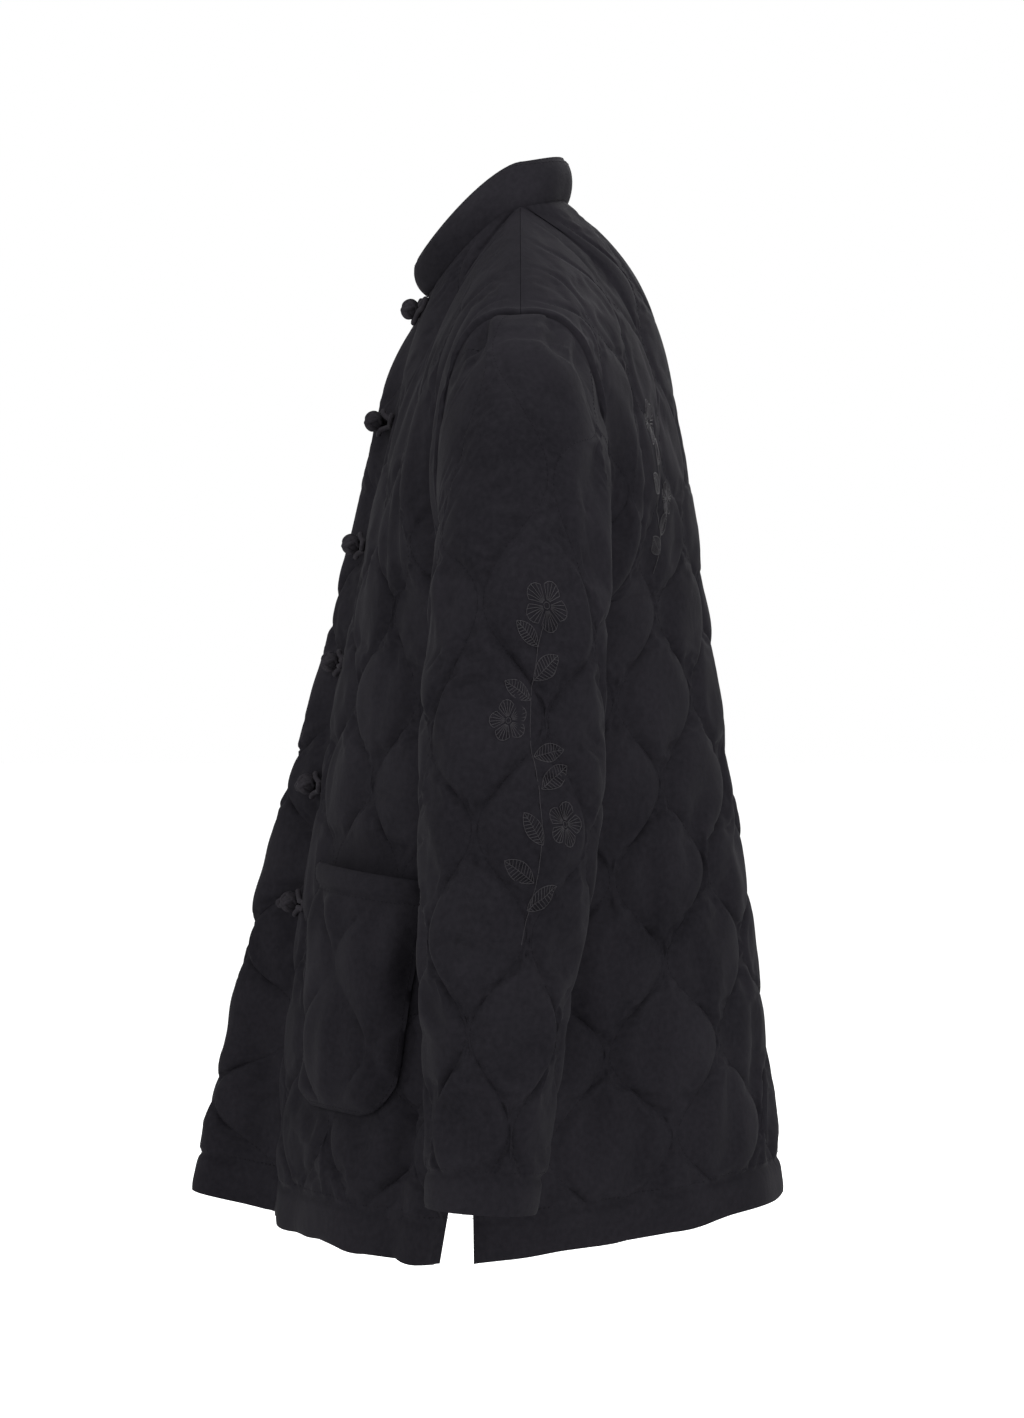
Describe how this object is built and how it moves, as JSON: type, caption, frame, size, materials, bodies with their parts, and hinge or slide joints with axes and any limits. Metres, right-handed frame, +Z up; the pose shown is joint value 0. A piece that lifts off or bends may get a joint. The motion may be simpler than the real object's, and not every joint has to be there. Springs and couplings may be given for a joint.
{
  "type": "quilted padded jacket",
  "caption": "Black padded jacket with stand collar, wavy quilting, knotted cord fastenings, patch pockets and side vents; a hollow worn form that goes on a figure or a stand.",
  "frame": {"origin": "middle of the neck, level with the points where the shoulder seams meet the collar", "axes": "+Z up, -Y is the wearer's front, +X is the wearer's left"},
  "size_m": [0.7442, 0.448, 0.7934],
  "materials": {
    "quilted_cloth": "matte black cloth over padding, quilted in wavy lines, with a faint soft sheen",
    "plain_cloth": "the same matte black cloth, unquilted",
    "cord": "black rolled cloth cord"
  },
  "bodies": {
    "root": {"back": "quilted_cloth", "front_left": "quilted_cloth", "front_right": "quilted_cloth", "sleeve_left": "quilted_cloth", "sleeve_right": "quilted_cloth", "pocket_left": "quilted_cloth", "pocket_right": "quilted_cloth", "collar": "plain_cloth", "knot_1": "cord", "knot_2": "cord", "knot_3": "cord", "knot_4": "cord", "knot_5": "cord", "knot_6": "cord", "loop_1": "cord", "loop_2": "cord", "loop_3": "cord", "loop_4": "cord", "loop_5": "cord", "loop_6": "cord"}
  },
  "joints": []
}
